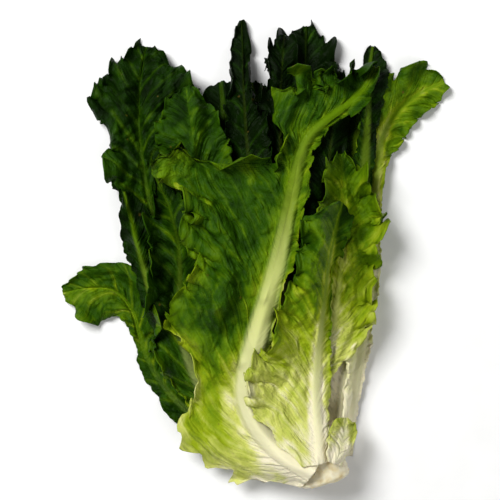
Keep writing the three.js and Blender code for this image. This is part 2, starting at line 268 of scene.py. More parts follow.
def on_net(net, row, column):
    """Points on the smooth surface through the net, at fractional rows and columns."""
    padded = np.concatenate([2 * net[:1] - net[1:2], net, 2 * net[-1:] - net[-2:-1]])
    left, right = 2 * padded[:, :1] - padded[:, 1:2], 2 * padded[:, -1:] - padded[:, -2:-1]
    padded = np.concatenate([left, padded, right], 1)
    r0 = np.clip(np.floor(row).astype(int), 0, net.shape[0] - 2)
    c0 = np.clip(np.floor(column).astype(int), 0, net.shape[1] - 2)
    rows = spline_weights(row - r0)
    columns = spline_weights(column - c0)
    total = np.zeros(row.shape + (3,))
    for a in range(4):
        for b in range(4):
            total += (rows[a] * columns[b])[:, None] * padded[r0 + a, c0 + b]
    return total


class Stack:
    """The highest point of what has been laid down so far, on a square net over the table."""

    cell = 2.0 * MM
    reach = 250 * MM         # the net runs this far to each side of the middle

    def __init__(self):
        count = int(2 * self.reach / self.cell)
        self.level = np.zeros((count, count))

    def cells(self, points):
        return tuple(np.floor((points[:, k] + self.reach) / self.cell).astype(int) for k in (0, 1))

    def under(self, points):
        near = self.level.copy()
        for shift in ((1, 0), (-1, 0), (0, 1), (0, -1)):
            near = np.maximum(near, np.roll(self.level, shift, (0, 1)))
        return near[self.cells(points)]

    def add(self, points):
        np.maximum.at(self.level, self.cells(points), points[:, 2])


stack = Stack()


# ---- One leaf ----

POINT_SPACING = 1.05 * MM
CLEARANCE = 0.25 * MM        # from a leaf to what it lies on
TURN = 2 * math.pi
OTHER_SIDE = 40.0            # sets the noise right of the rib apart from the noise left of it
SQUEEZED = 0.65              # a margin that comes in closer than this share squeezes its whole side
DROOP = 0.2                  # how steeply the blade sinks past the plain leaf's margin
RIBLESS = 1.1 * MM           # along its middle, what a plain leaf is thick beyond this is its rib
SPREADING_ROUNDS = 7         # a lift off what lies below first spreads sideways
SMOOTHING_ROUNDS = 5         # and is then smoothed

# Along the margin: how long each kind of feature is, and how deep the small ones are.
LOBE_LENGTH = 21 * MM
CUT_LENGTH = 13 * MM
SLIT_LENGTH = 6.5 * MM
SCALLOP_LENGTH, SCALLOP_DEPTH = 5 * MM, 2.2 * MM
FRILL_LENGTH, FRILL_DEPTH = 2 * MM, 0.9 * MM

LEAF_OFFSET = 0.37           # puts each leaf at its own level of the materials' noise


def leaf(name, slot, greens, outer_up=True, ruffle=1.0, blister=1.0, pleat=1.0, fold=1.0, seed=1,
         round_tip=0.14, lobes=0.10, cuts=0.15, rib=1.0, rib_tint=1.0, ripe_by=1.0, pale_edge=0.05,
         curl=0.0, shape=()):
    """One leaf's looks.

    greens is the blade's age by the stem and at the tip, from 0 for cream to 1 for the darkest green, and
    ripe_by the share of the length by which most of that change is over. outer_up says whether the outer
    side, which carries the rib, lies on top. ruffle, blister, pleat, fold, rib and rib_tint scale what
    their names say. round_tip is the share of the length over which the tip closes, lobes and cuts are
    shares of the half-width, pale_edge is how much younger the margin looks, and curl lifts it, in
    millimetres. Each entry of shape is (side, share along, width, share by which the margin reaches out).
    """
    return dict(name=name, slot=slot, greens=greens, outer_up=outer_up, ruffle=ruffle, blister=blister,
                pleat=pleat, fold=fold, seed=seed, round_tip=round_tip, lobes=lobes, cuts=cuts, rib=rib,
                rib_tint=rib_tint, ripe_by=ripe_by, pale_edge=pale_edge, curl=curl, shape=shape)


def grid_counts(net):
    """How many cells the fine net has along and across, and the share of the width left of the rib."""
    middle = net.shape[1] // 2
    along = np.linalg.norm(np.diff(net[:, middle], axis=0), axis=1).sum()
    left = np.linalg.norm(net[:, 0] - net[:, middle], axis=1).max()
    right = np.linalg.norm(net[:, -1] - net[:, middle], axis=1).max()
    return int(along / POINT_SPACING), max(16, int((left + right) / POINT_SPACING)), left / (left + right)


def outline(spec, s, S, t, half):
    """How far the blade reaches towards its margin, as a share of the plain leaf's half-width."""
    seed = spec["seed"]
    side = np.where(t < 0, 0.0, OTHER_SIDE)
    tip = np.clip((s - (1 - spec["round_tip"])) / spec["round_tip"], 0, 1)
    rounding = np.sqrt(np.clip(1 - (0.97 * tip) ** 2.4, 0, 1))
    still = np.full_like(S, seed)
    lobe = smooth_noise(S / LOBE_LENGTH + side, still, seed)
    scallop = 2.4 * np.abs(smooth_noise(S / SCALLOP_LENGTH + side, still + 3.3, seed + 1)) - 0.9
    frill = 2.4 * np.abs(smooth_noise(S / FRILL_LENGTH + side, still + 7.7, seed + 4)) - 0.9
    cut = np.clip(smooth_noise(S / CUT_LENGTH + side, still + 5.1, seed + 6) - 0.25, 0, 1)
    slit = np.clip(smooth_noise(S / SLIT_LENGTH + side, still + 9.1, seed + 8) - 0.45, 0, 1)
    calm = 1 - 0.75 * tip
    margin = 1 + spec["lobes"] * lobe * ease(0.0, 0.15, s) * calm
    teeth = (SCALLOP_DEPTH * scallop + FRILL_DEPTH * frill) / np.maximum(half, 22 * MM)
    margin += (teeth - spec["cuts"] * (cut + 0.6 * slit)) * ease(0.01, 0.12, s) * calm
    for which, share, width, reach in spec["shape"]:
        margin += np.where(np.sign(t) == which, reach * np.exp(-((s - share) / width) ** 4), 0)
    return rounding * np.clip(margin, 0.15, 2.2)


def rib_frame(sheet, row, t):
    """Flat unit vectors along the rib and from the rib to the margin, at fractional rows."""
    middle = sheet.shape[1] // 2
    centre = sheet[:, middle, :2]
    rows = np.arange(len(centre))

    def unit(vectors):
        return vectors / np.maximum(np.linalg.norm(vectors, axis=-1, keepdims=True), 1e-9)

    def at_row(vectors):
        return unit(np.stack([np.interp(row, rows, vectors[:, k]) for k in (0, 1)], 1))

    along = at_row(unit(np.gradient(centre, axis=0)))
    left, right = (at_row(unit(sheet[:, side, :2] - centre)) for side in (0, -1))
    return along, np.where((t < 0)[:, None], left, right)


class Blade:
    """One leaf as a fine net of points over the plain leaf, with what holds at each point.

    s runs from 0 by the stem to 1 at the tip. t runs from -1 at the left margin over 0 on the rib to 1 at
    the right margin. S and T are the distances along the rib and away from it.
    """

    def __init__(self, spec, settings):
        self.spec = spec
        self.settings = settings
        self.seed = spec["seed"]
        stem_low, stem_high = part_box("cut_stem")
        stem_end = np.array([(stem_low[0] + stem_high[0]) / 2, stem_low[1]])
        self.top, self.bottom = read_leaf(spec["name"], stem_end)
        self.sheet = self.bottom if spec["outer_up"] else self.top
        self.middle = self.sheet.shape[1] // 2
        self.face = 1 if spec["outer_up"] else -1

    def lay_net(self):
        """The flat net, and where each of its points is along and across the leaf."""
        self.along_count, self.across_count, centre_share = grid_counts(self.sheet)
        self.bm = bmesh.new()
        bmesh.ops.create_grid(self.bm, x_segments=self.along_count, y_segments=self.across_count, size=1)
        self.flat = np.array([v.co[:] for v in self.bm.verts])
        self.s = np.clip((self.flat[:, 0] + 1) / 2, 0, 1)
        across = np.clip((self.flat[:, 1] + 1) / 2, 0, 1)
        # Across, 0 is the left margin, the rib lies at centre_share, and 1 is the right margin.
        self.t = np.where(across < centre_share, (across - centre_share) / centre_share,
                          (across - centre_share) / (1 - centre_share))
        self.edge = np.abs(self.t)
        self.side = np.where(self.t < 0, 0.0, OTHER_SIDE)

    def width(self, column):
        """How far a column of the plain sheet is from its rib, at each point's row."""
        gaps = np.linalg.norm(self.sheet[:, column, :2] - self.sheet[:, self.middle, :2], axis=1)
        return np.interp(self.row, np.arange(len(gaps)), gaps)

    def spread(self):
        """Puts the points on the plain sheet, out to the leaf's own outline."""
        sheet, middle = self.sheet, self.middle
        run = np.linalg.norm(np.diff(sheet[:, middle], axis=0), axis=1)
        run = np.concatenate([[0], np.cumsum(run)])
        self.row = self.s * (sheet.shape[0] - 1)
        self.S = np.interp(self.row, np.arange(len(run)), run)
        self.half = half = np.where(self.t < 0, self.width(0), self.width(-1))
        self.rib_half = rib_half = np.where(self.t < 0, self.width(middle - 1), self.width(middle + 1))
        margin = outline(self.spec, self.s, self.S, self.t, half)
        narrowed = np.minimum(margin / SQUEEZED, 1)
        self.reach = reach = self.edge * half * narrowed * (1 + (margin / narrowed - 1) * self.edge)
        self.T = np.sign(self.t) * reach
        on_rib = reach / np.maximum(rib_half, 1e-6)
        past_rib = 1 + (middle - 1) * (reach - rib_half) / np.maximum(half - rib_half, 1e-6)
        index = np.minimum(np.where(reach < rib_half, on_rib, past_rib), middle - 1e-6)
        self.place = on_net(sheet, self.row, middle + np.sign(self.t) * index)
        # Past the plain leaf's margin, the blade carries on outwards and droops a little.
        self.ahead, self.outwards = rib_frame(sheet, self.row, self.t)
        over = np.maximum(reach - half, 0)
        self.place[:, :2] += self.outwards * over[:, None]
        self.place[:, 2] -= DROOP * over

    def fade(self):
        """Shares that keep the relief off the rib, the stem end and the narrow parts."""
        shown_rib = self.rib_half * (0.25 + 0.75 * self.spec["rib"])
        self.off_shown = self.reach / np.maximum(shown_rib, 0.5 * MM)
        self.off_rib = ease(1.2, 2.0, self.off_shown)
        self.free = ease(0.03, 0.25, self.s)
        self.broad = ease(0.0, 22 * MM, self.half - self.rib_half)

    def find_veins(self):
        """Side veins leave the rib at a narrow angle, left and right by turns, and spread outwards."""
        settings, S, T, reach, seed = self.settings, self.S, self.T, self.reach, self.seed
        slant = 1 / math.tan(settings.vein_angle)
        bend = reach * slant * (1 - 0.35 * np.clip(reach / np.maximum(self.half, 1e-6), 0, 1))
        warp = smooth_noise(S / (34 * MM) + self.side, T / (34 * MM), seed + 11)
        stray = 6.0 * MM * warp + 1.6 * MM * smooth_noise(S / (9 * MM), T / (9 * MM), seed + 12)
        q = (S - bend + stray) * math.sin(settings.vein_angle) * 1.25
        gap = settings.vein_spacing * math.sin(settings.vein_angle) * 1.25
        phase = q / gap + np.where(self.t < 0, 0, 0.4)
        off_vein = np.abs(phase - np.round(phase)) * gap
        thin = np.clip(1 - self.edge ** 1.5, 0, 1)
        crest = np.exp(-(off_vein / (settings.vein_width * (0.4 + 0.6 * thin))) ** 2)
        vein = crest * thin ** 0.5 * self.free * self.off_rib
        vein *= 0.55 + 0.45 * smooth_noise(q / gap + 0.5, reach / (26 * MM), seed + 9)
        self.bend, self.warp, self.q, self.vein = bend, warp, q, vein

    def raise_skin(self):
        """Height: broad folds and pleats along the veins, blisters between them, and the veins."""
        spec, settings, S, T, seed = self.spec, self.settings, self.S, self.T, self.seed
        swell = TURN * (S - self.bend) / (2.2 * settings.ruffle_length)
        folds = np.sin(swell + 2.2 * self.warp + seed * 1.3)
        lift = spec["fold"] * settings.fold_depth * folds * ease(0.05, 0.6, self.edge)
        lift = lift * self.free * self.broad
        wander = 0.7 * smooth_noise(S / (15 * MM), T / (15 * MM), seed + 13)
        pleat = creases(self.q / settings.pleat_width + wander,
                        self.reach / (4.5 * settings.pleat_width) + wander, seed + 17)
        by_stem = 0.3 + 0.7 * self.free
        lift -= self.face * spec["pleat"] * settings.pleat_depth * pleat * self.off_rib * by_stem
        self.pleat_tone = pleat * self.off_rib
        size = settings.blister_size
        self.puff = creases(S / size + wander, T / (0.85 * size) + wander, seed)
        puffed = spec["blister"] * settings.blister_depth * (self.puff - 0.2)
        lift += puffed * ease(1.3, 2.6, self.off_shown) * self.free * (0.3 + 0.7 * self.broad)
        lift += self.face * settings.vein_height * self.vein
        self.lift = lift

    def ruffle_margin(self):
        """Ruffles, which also slide the margin to and fro so that its crests bunch up, and the curl."""
        spec, settings, edge, warp, seed = self.spec, self.settings, self.edge, self.warp, self.seed
        flow = (self.S - 0.5 * self.bend) / settings.ruffle_length + 0.7 * warp
        strength = spec["ruffle"] * settings.ruffle_depth * (0.1 + 0.9 * ease(0.05, 0.4, self.s))
        strength = strength * (0.12 + 0.88 * self.broad)
        deep = strength * edge ** 2.8 * (1 + 0.5 * warp)
        small = 0.62 * strength * edge ** 5
        swing = TURN * flow + seed
        flutter = TURN * 2.6 * flow + 3 * warp + 2 * seed
        self.lift += deep * (np.sin(swing) + 0.3) + small * np.sin(flutter)
        slide = -0.6 * deep * np.cos(swing) - 0.7 * small * np.cos(flutter)
        rolled = spec["curl"] * MM * ease(0.72, 1.0, edge) * self.free * self.broad
        rolled = rolled * (0.55 + 0.45 * np.sin(swing / 2.3 + seed))
        self.lift += rolled
        self.place[:, :2] += self.ahead * slide[:, None]
        drawn_in = 0.25 * deep * np.sin(swing) ** 2 + 1.1 * rolled * edge
        self.place[:, :2] -= self.outwards * drawn_in[:, None]

    def shape_rib(self):
        """The rib: a rounded ridge on the outer side, with fine strands along it."""
        rib_rise = np.maximum((self.top - self.bottom)[:, self.middle, 2] - RIBLESS, 0)
        rib_height = self.spec["rib"] * np.interp(self.row, np.arange(len(rib_rise)), rib_rise)
        rib_shape = np.clip(1 - (self.off_shown / 1.45) ** 2, 0, 1) ** 0.8
        wave = 3 * smooth_noise(self.S / (40 * MM), self.T * 0, self.seed)
        strands = 0.10 * MM * np.sin(self.T / (0.7 * MM) + wave)
        ridge = rib_height * rib_shape + strands * (rib_shape > 0.1)
        self.thickness = self.settings.blade * (1 - 0.35 * self.edge) + ridge
        if self.spec["outer_up"]:
            self.lift = self.lift + ridge

    def settle(self):
        """Lifts the leaf clear of what it lies on. The table holds the lowest ones up."""
        place = self.place
        place[:, 2] += self.lift
        short = np.maximum(stack.under(place) + CLEARANCE - (place[:, 2] - self.thickness), 0)
        order = np.lexsort((self.flat[:, 1].round(6), self.flat[:, 0].round(6)))
        field = short[order].reshape(self.along_count + 1, self.across_count + 1)
        for turn in range(SPREADING_ROUNDS + SMOOTHING_ROUNDS):
            padded = np.pad(field, 1, mode="edge")
            blur = (padded[:-2, 1:-1] + padded[2:, 1:-1] + padded[1:-1, :-2] + padded[1:-1, 2:]) / 4
            field = np.maximum(field, blur) if turn < SPREADING_ROUNDS else blur
        off_table = CLEARANCE - (place[:, 2] - self.thickness)
        short[order] = field.ravel()
        place[:, 2] += np.maximum(short, off_table)
        stack.add(place)

    def age_and_shade(self):
        """How old the blade looks: younger by the stem and rib and in the pleats. Painted shade darkens the
        creases between the blisters and leaves their crowns paler.
        """
        spec = self.spec
        green_low, green_high = spec["greens"]
        ripeness = 0.85 * ease(0, spec["ripe_by"], self.s) + 0.15 * self.s
        age_and_shade = green_low + (green_high - green_low) * ripeness
        grown = np.clip(2.5 * age_and_shade, 0.15, 1)
        patches = smooth_noise(self.S / (28 * MM) + self.side, self.T / (28 * MM), self.seed + 31)
        age_and_shade += 0.07 * grown * patches
        age_and_shade -= (0.08 + 0.15 * spec["rib_tint"]) * (1 - ease(0.8, 4.2, self.off_shown))
        age_and_shade -= grown * spec["pale_edge"] * ease(0.6, 1.0, self.edge) * (1.3 - self.s)
        # Paler in the sunken pleats. Painted shade: darker in the creases between the blisters, paler on
        # the blisters' crowns, as if lit.
        sunk = self.pleat_tone if spec["outer_up"] else 1 - self.pleat_tone
        age_and_shade += grown * (0.12 * (0.4 - sunk) + 0.17 * (0.33 - self.puff))
        return age_and_shade

    def rib_mask(self):
        """How strongly the rib's own colour shows. Its edges grow softer away from the stem."""
        core = 0.9 - 0.6 * ease(0.2, 0.6, self.s)
        return ease(1.9, core, self.off_shown) * self.spec["rib_tint"]

    def mesh(self):
        """The upper skin as a mesh, with the attributes that its material reads."""
        for v, p in zip(self.bm.verts, self.place):
            v.co = p
        mesh = bpy.data.meshes.new(self.spec["name"] + "_grown")
        self.bm.to_mesh(mesh)
        self.bm.free()
        if sum(face.normal.z * face.area for face in mesh.polygons) < 0:
            mesh.flip_normals()
        mesh.polygons.foreach_set("use_smooth", [True] * len(mesh.polygons))
        numbers = {"age_and_shade": self.age_and_shade(), "rib": self.rib_mask(), "vein": self.vein, "along": self.s}
        for label, values in numbers.items():
            layer = mesh.attributes.new(label, "FLOAT", "POINT")
            layer.data.foreach_set("value", values.astype(np.float32))
        own = np.full_like(self.S, self.seed * LEAF_OFFSET)
        for label, spot in (("leaf_place", (self.S, self.T, own)), ("vein_place", (self.q, self.T, own))):
            layer = mesh.attributes.new(label, "FLOAT_VECTOR", "POINT")
            layer.data.foreach_set("vector", np.stack(spot, 1).astype(np.float32).ravel())
        return mesh


def grow_leaf(spec, settings):
    """A ruffled, pleated leaf in the place of a plain one of the same name."""
    blade = Blade(spec, settings)
    blade.lay_net()
    blade.spread()
    blade.fade()
    blade.find_veins()
    blade.raise_skin()
    blade.ruffle_margin()
    blade.shape_rib()
    blade.settle()
    mesh = blade.mesh()
    piece = bpy.data.objects.new(spec["name"] + "_grown", mesh)
    bpy.context.scene.collection.objects.link(piece)
    thickest = float(blade.thickness.max())
    group = piece.vertex_groups.new(name="flesh")
    for k, share in enumerate(blade.thickness / thickest):
        group.add([k], float(share), "REPLACE")
    wall = piece.modifiers.new("Flesh", "SOLIDIFY")
    wall.thickness = thickest
    wall.offset = -1
    wall.vertex_group = group.name
    mesh.materials.append(leaf_material(spec["slot"]))
    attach(piece, "root")
    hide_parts(spec["name"])
    return piece


# ---- Materials ----

LEAF_APART = 9.0             # spreads the leaves' levels of noise further apart


def add_node(tree, kind, settings=None, links=None):
    """Adds a node, sets its properties and sockets, and links sockets to other nodes' outputs."""
    node = tree.nodes.new(kind)
    for key, value in (settings or {}).items():
        if isinstance(key, int):
            node.inputs[key].default_value = value
        elif key in node.inputs and not hasattr(node, key):
            node.inputs[key].default_value = value
        else:
            setattr(node, key, value)
    for key, output in (links or {}).items():
        tree.links.new(output, node.inputs[key])
    return node


def ramp(tree, output, stops):
    """Colours that follow an output, from stops of (value, colour)."""
    node = add_node(tree, "ShaderNodeValToRGB", links={"Fac": output})
    elements = node.color_ramp.elements
    while len(elements) < len(stops):
        elements.new(0.5)
    for element, (position, tint) in zip(elements, stops):
        element.position = position
        element.color = (*tint, 1)
    return node.outputs[0]


def noise(tree, vector, size, detail):
    """Noise with features of the given size."""
    node = add_node(tree, "ShaderNodeTexNoise", {"Scale": 1 / size, "Detail": detail}, {"Vector": vector})
    return node.outputs[0]


def drawn_out(tree, vector, across, along):
    """A place measured in features of one size across the veins and another along them."""
    counts = (1 / across, 1 / along, LEAF_APART)
    node = add_node(tree, "ShaderNodeVectorMath", {"operation": "MULTIPLY", 1: counts}, {0: vector})
    return node.outputs[0]


def stretch(tree, output, old, new):
    """An output whose range old is stretched or shrunk to the range new."""
    return add_node(tree, "ShaderNodeMapRange",
                    {"From Min": old[0], "From Max": old[1], "To Min": new[0], "To Max": new[1]},
                    {"Value": output}).outputs[0]


def add_up(tree, one, other):
    """The sum of two outputs."""
    return add_node(tree, "ShaderNodeMath", {"operation": "ADD"}, {0: one, 1: other}).outputs[0]


def blade_stops(tints):
    """The blade's colours by age, from the flesh by the stem to the oldest tips."""
    return [(0.0, tints.base), (0.14, tints.pale), (0.30, tints.lime), (0.46, tints.bright),
            (0.66, tints.deep), (0.84, tints.dark), (1.0, tints.darkest)]


def leaf_material(slot):
    """Living leaf: thin waxy skin over green flesh that pales towards the rib, the veins and the stem, with
    painted shade in the creases of its crumpled skin.
    """
    name = "leaf_skin_" + slot
    if name in bpy.data.materials:
        return bpy.data.materials[name]
    tints = bpy.context.scene.lettuce_colours
    material = bpy.data.materials.new(name)
    material.use_nodes = True
    tree = material.node_tree
    skin = tree.nodes["Principled BSDF"]
    age_and_shade, rib, vein, along, spot, flow = (
        add_node(tree, "ShaderNodeAttribute", {"attribute_name": label})
        for label in ("age_and_shade", "rib", "vein", "along", "leaf_place", "vein_place"))
    place = spot.outputs["Vector"]
    mottle = noise(tree, place, 12 * MM, 5.0)
    streak = add_node(tree, "ShaderNodeTexNoise", {"Scale": 1.0, "Detail": 3.0, "Distortion": 0.6},
                      {"Vector": drawn_out(tree, flow.outputs["Vector"], 1.9 * MM, 22 * MM)}).outputs[0]
    crumple = add_node(tree, "ShaderNodeTexNoise",
                       {"noise_type": "RIDGED_MULTIFRACTAL", "normalize": True, "Scale": 1.0, "Detail": 3.0,
                        "Distortion": 0.6},
                       {"Vector": drawn_out(tree, flow.outputs["Vector"], 5 * MM, 10 * MM)}).outputs[0]
    # Mottling 12 mm across, where the flesh under the skin is thicker or thinner.
    tone = add_up(tree, age_and_shade.outputs["Fac"], stretch(tree, mottle, (0.3, 0.7), (-0.08, 0.08)))
    # Streaks along the veins, 2 mm across and 22 mm long.
    tone = add_up(tree, tone, stretch(tree, streak, (0.3, 0.7), (-0.045, 0.045)))
    # Crumpled skin: creases 5 mm apart and twice as long. Painted shade darkens the creases, and the crowns
    # between them are painted paler, as if lit.
    tone = add_up(tree, tone, stretch(tree, crumple, (0.2, 0.8), (0.04, -0.13)))
    blade = ramp(tree, tone, blade_stops(tints))
    # Side veins are a little paler than the blade.
    paler = 0.26 if slot == "leaf_dark" else 0.13
    lighter = add_node(tree, "ShaderNodeMath", {"operation": "SUBTRACT", 1: paler}, {0: tone})
    vein_tint = ramp(tree, lighter.outputs[0], blade_stops(tints))
    veined = add_node(tree, "ShaderNodeMix", {"data_type": "RGBA"},
                      {0: vein.outputs["Fac"], 6: blade, 7: vein_tint})
    rib_tint = ramp(tree, along.outputs["Fac"],
                    [(0.0, tints.base), (0.40, tints.rib), (0.62, tints.rib_top), (0.85, tints.bright)])
    ribbed = add_node(tree, "ShaderNodeMix", {"data_type": "RGBA"},
                      {0: rib.outputs["Fac"], 6: veined.outputs[2], 7: rib_tint})
    # Bruises: a few brown specks 1 to 3 mm across.
    bruise = stretch(tree, noise(tree, place, 5 * MM, 2.0), (0.72, 0.78), (0.0, 0.6))
    final = add_node(tree, "ShaderNodeMix", {"data_type": "RGBA", 7: (*tints.blemish, 1)},
                     {0: bruise, 6: ribbed.outputs[2]})
    tree.links.new(final.outputs[2], skin.inputs["Base Color"])
    # The wax wears off in patches, so the gloss isn't even.
    tree.links.new(stretch(tree, mottle, (0.3, 0.7), (0.38, 0.58)), skin.inputs["Roughness"])
    # Relief: the crumpled skin, fine pleats along the veins, and grain 1.5 mm across. The rib is smoother.
    grain = noise(tree, place, 1.5 * MM, 3.0)
    pleated = add_node(tree, "ShaderNodeMath", {"operation": "MULTIPLY_ADD", 1: 2.2}, {0: streak, 2: grain})
    relief = add_node(tree, "ShaderNodeMath", {"operation": "MULTIPLY_ADD", 1: 3.5},
                      {0: crumple, 2: pleated.outputs[0]})
    strength = stretch(tree, rib.outputs["Fac"], (0, 1), (0.75, 0.12))
    bump = add_node(tree, "ShaderNodeBump", {"Distance": 1.25 * MM},
                    {"Height": relief.outputs[0], "Strength": strength})
    tree.links.new(bump.outputs[0], skin.inputs["Normal"])
    skin.inputs["IOR"].default_value = 1.4
    skin.inputs["Specular IOR Level"].default_value = 0.08
    skin.inputs["Subsurface Weight"].default_value = 0.05
    skin.inputs["Subsurface Radius"].default_value = (0.6, 1.0, 0.2)
    skin.inputs["Subsurface Scale"].default_value = 1.0 * MM
    return material


def cut_stem_material():
    """Cut lettuce stem: moist cream flesh, browned where it has dried at the cut."""
    tints = bpy.context.scene.lettuce_colours
    material = bpy.data.materials.new("cut_stem_flesh")
    material.use_nodes = True
    tree = material.node_tree
    flesh = tree.nodes["Principled BSDF"]
    spot = add_node(tree, "ShaderNodeTexCoord")
    fibres = noise(tree, spot.outputs["Object"], 5 * MM, 5.0)
    dried = [(0.25, colour("#CDB57C")), (0.42, colour("#E8DBB2")), (0.6, tints.base)]
    tree.links.new(ramp(tree, fibres, dried), flesh.inputs["Base Color"])
    pores = noise(tree, spot.outputs["Object"], 1.5 * MM, 3.0)
    bump = add_node(tree, "ShaderNodeBump", {"Strength": 0.6, "Distance": 0.4 * MM}, {"Height": pores})
    tree.links.new(bump.outputs[0], flesh.inputs["Normal"])
    flesh.inputs["Roughness"].default_value = 0.5
    flesh.inputs["Subsurface Weight"].default_value = 0.15
    flesh.inputs["Subsurface Radius"].default_value = (1.0, 0.8, 0.4)
    flesh.inputs["Subsurface Scale"].default_value = 2 * MM
    return material


# ---- The pieces, from the table up ----

TABLE_LEAVES = [
    leaf("table_leaf_middle", "leaf_mid", (0.05, 0.9), outer_up=False, ruffle=0.8, seed=1, blister=0.3,
         pleat=0.3, fold=0.4),
    leaf("table_leaf_left", "leaf_mid", (0.05, 0.95), outer_up=False, ruffle=0.8, seed=2, blister=0.3,
         pleat=0.4, fold=0.5),
    leaf("table_leaf_right", "leaf_mid", (0.02, 0.9), outer_up=False, ruffle=0.8, seed=3, blister=0.3,
         pleat=0.4, fold=0.5),
    leaf("left_lower_leaf", "leaf_dark", (0.95, 0.52), outer_up=False, ruffle=0.9, seed=4, lobes=0.08,
         cuts=0.04, round_tip=0.24, rib_tint=0.06, rib=0.1, ripe_by=1.1, blister=1.1, pleat=1.0,
         shape=((1, 0.84, 0.12, 0.65), (-1, 0.84, 0.12, 0.5), (1, 0.64, 0.05, -0.4),
                (-1, 0.64, 0.05, -0.3))),
    leaf("table_leaf_upper", "leaf_mid", (0.3, 1.0), outer_up=False, ruffle=0.8, seed=5, blister=0.4,
         pleat=0.5, fold=0.5, rib_tint=0.2),
]
OUTER_SIDE_LEAVES = [
    leaf("left_tall_leaf", "leaf_dark", (0.2, 0.88), outer_up=False, ruffle=1.2, seed=6, lobes=0.25,
         cuts=0.15, pleat=1.4, rib_tint=0.15, rib=0.2, ripe_by=0.5, pale_edge=0.14, round_tip=0.10,
         blister=1.3,
         shape=((1, 0.88, 0.07, 0.15), (-1, 0.9, 0.07, 0.2))),
    leaf("right_leaf", "leaf_lime", (0.0, 0.56), outer_up=False, ruffle=1.0, seed=7, lobes=0.12,
         pale_edge=0.0, rib_tint=0.8, rib=1.0, round_tip=0.07, blister=0.7, ripe_by=0.9, cuts=0.3,
         shape=((-1, 0.15, 0.22, 0.7), (1, 0.9, 0.13, 0.4), (-1, 0.9, 0.12, 0.5))),
]
BACK_LEAVES = [
    leaf("upper_back_leaf_right", "leaf_dark", (0.3, 1.02), seed=8, lobes=0.25, cuts=0.35, rib_tint=0.2,
         rib=0.2, ripe_by=0.5, ruffle=1.4, blister=0.6, round_tip=0.08,
         shape=((-1, 0.93, 0.1, 0.2), (1, 0.93, 0.1, 0.25))),
    leaf("upper_back_leaf_left", "leaf_dark", (0.3, 1.04), seed=9, lobes=0.25, cuts=0.6, rib_tint=0.2,
         rib=0.2, ripe_by=0.5, ruffle=1.4, blister=0.6),
    leaf("upper_middle_leaf", "leaf_dark", (0.3, 1.04), seed=10, lobes=0.3, cuts=0.6, round_tip=0.25,
         rib_tint=0.1, rib=0.1, curl=7, ripe_by=0.5, ruffle=1.3, blister=0.6,
         shape=((1, 0.85, 0.1, -0.4), (-1, 0.78, 0.07, -0.35))),
]
YOUNG_LEAVES = [
    leaf("heart_leaf_left", "heart_pale", (0.02, 0.6), ruffle=0.6, seed=11, blister=0.3, pleat=0.3,
         fold=0.3),
    leaf("heart_leaf_middle", "heart_pale", (0.02, 0.6), ruffle=0.6, seed=12, blister=0.3, pleat=0.3,
         fold=0.3),
    leaf("heart_leaf_right", "heart_pale", (0.02, 0.6), ruffle=0.6, seed=13, blister=0.3, pleat=0.3,
         fold=0.3),
]
SIDE_LEAVES = [
    leaf("upper_right_leaf", "leaf_dark", (0.0, 1.0), ruffle=0.9, seed=14, lobes=0.18, cuts=0.5,
         rib_tint=0.5, rib=0.7, curl=5, ripe_by=0.75, blister=0.5, fold=0.6, round_tip=0.07,
         shape=((-1, 0.1, 0.2, -0.75), (1, 0.1, 0.2, -0.75), (-1, 0.93, 0.1, 0.3), (1, 0.93, 0.1, 0.3))),
    leaf("left_inner_leaf", "leaf_mid", (0.2, 0.76), ruffle=0.7, seed=15, round_tip=0.22, cuts=0.05,
         lobes=0.05, rib_tint=0.2, rib=0.15, ripe_by=0.5, pale_edge=0.15, blister=0.8),
    leaf("left_middle_leaf", "leaf_mid", (0.2, 0.9), seed=16, cuts=0.3, rib_tint=0.7, rib=0.6,
         ripe_by=0.5, blister=0.6, fold=0.6),
    leaf("left_front_leaf", "leaf_dark", (0.2, 0.84), ruffle=1.4, seed=17, lobes=0.15, cuts=0.3,
         rib_tint=0.3, rib=0.4, pale_edge=0.24, curl=6, ripe_by=0.45, blister=0.8),
]
FRONT_RIGHT_LEAVES = [
    leaf("inner_right_leaf", "leaf_dark", (0.5, 1.05), ruffle=0.9, seed=18, rib_tint=0.1, rib=0.2,
         ripe_by=0.4, blister=0.5, fold=0.6),
    leaf("right_front_leaf", "leaf_lime", (0.06, 0.60), ruffle=1.3, blister=2.1, seed=19, lobes=0.15,
         cuts=0.3, rib=0.15, rib_tint=0.35, ripe_by=1.1, pleat=0.5,
         shape=((1, 0.55, 0.30, 0.35), (1, 0.36, 0.12, 0.6), (-1, 0.42, 0.2, 0.5))),
]
FRONT_LEAVES = [
    leaf("front_leaf", "leaf_mid", (0.08, 0.69), ruffle=1.5, fold=1.2, seed=20, lobes=0.12, cuts=0.5,
         blister=0.9, ripe_by=0.44, pale_edge=0.17, curl=5,
         shape=((-1, 0.732, 0.046, -0.68), (-1, 0.825, 0.012, -0.3), (-1, 0.875, 0.02, -0.5),
                (-1, 0.94, 0.02, -0.45), (-1, 0.10, 0.010, 0.14), (-1, 0.15, 0.014, -0.14))),
]
HEART_LEAVES = [
    leaf("heart_front_leaf", "leaf_lime", (0.02, 0.68), ruffle=1.1, blister=0.9, seed=21, lobes=0.16,
         cuts=0.4, pale_edge=-0.10, rib=0.15, rib_tint=0.9, ripe_by=1.1,
         shape=((-1, 0.36, 0.06, 0.12), (-1, 0.12, 0.06, 0.3), (-1, 0.72, 0.3, 0.35),
                (1, 0.62, 0.25, -0.45))),
    leaf("small_heart_leaf", "heart_pale", (0.0, 0.15), ruffle=3.0, seed=22, cuts=0.5, lobes=0.25,
         rib=0.3, rib_tint=0.3, blister=1.6, pale_edge=-0.08, round_tip=0.12,
         shape=((-1, 1.0, 0.4, 0.5), (1, 1.0, 0.4, 0.4))),
]


